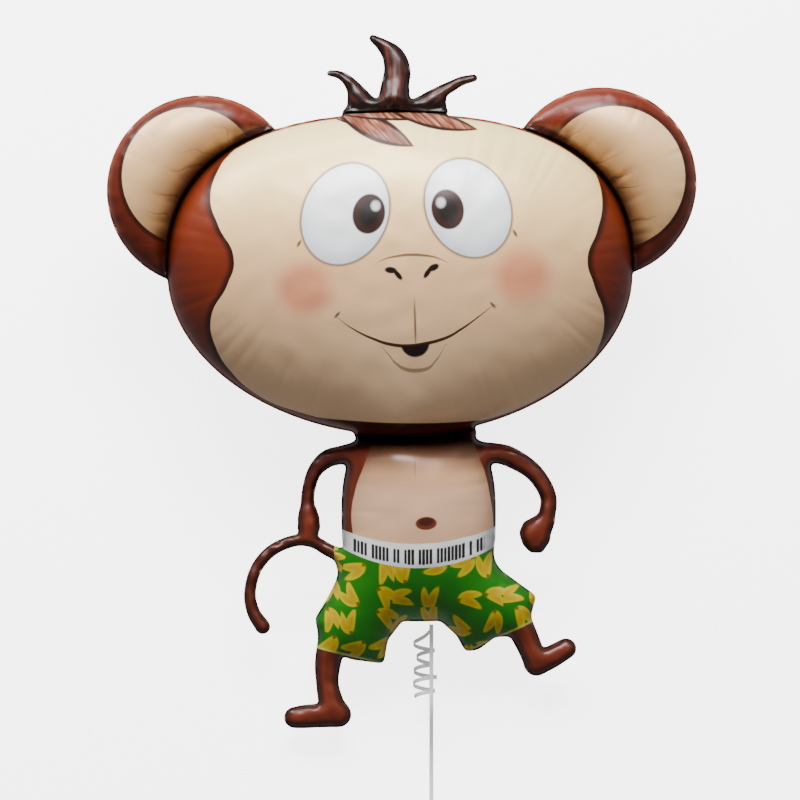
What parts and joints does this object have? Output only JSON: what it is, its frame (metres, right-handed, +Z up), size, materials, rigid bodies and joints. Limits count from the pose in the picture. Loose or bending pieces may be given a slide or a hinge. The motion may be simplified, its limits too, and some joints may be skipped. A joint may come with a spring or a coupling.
{
  "type": "monkey foil balloon",
  "caption": "Inflated foil balloon shaped as a cartoon monkey with a wide head, round ears, small body in printed shorts, thin limbs and a curling ribbon.",
  "frame": {"origin": "on the surface the balloon lies on, below the middle of the balloon's box without its ribbon", "axes": "+Z up, out of the face as it lies on its back; +Y towards the hair; +X to the right of someone looking down at the face"},
  "size_m": [0.8848, 1.3074, 0.3361],
  "materials": {
    "printed_foil": "satin printed foil",
    "ribbon": "satin"
  },
  "bodies": {
    "root": {"foil_balloon": "printed_foil", "ribbon": "ribbon", "ribbon_coil": "ribbon", "ribbon_curl": "ribbon"}
  },
  "joints": []
}
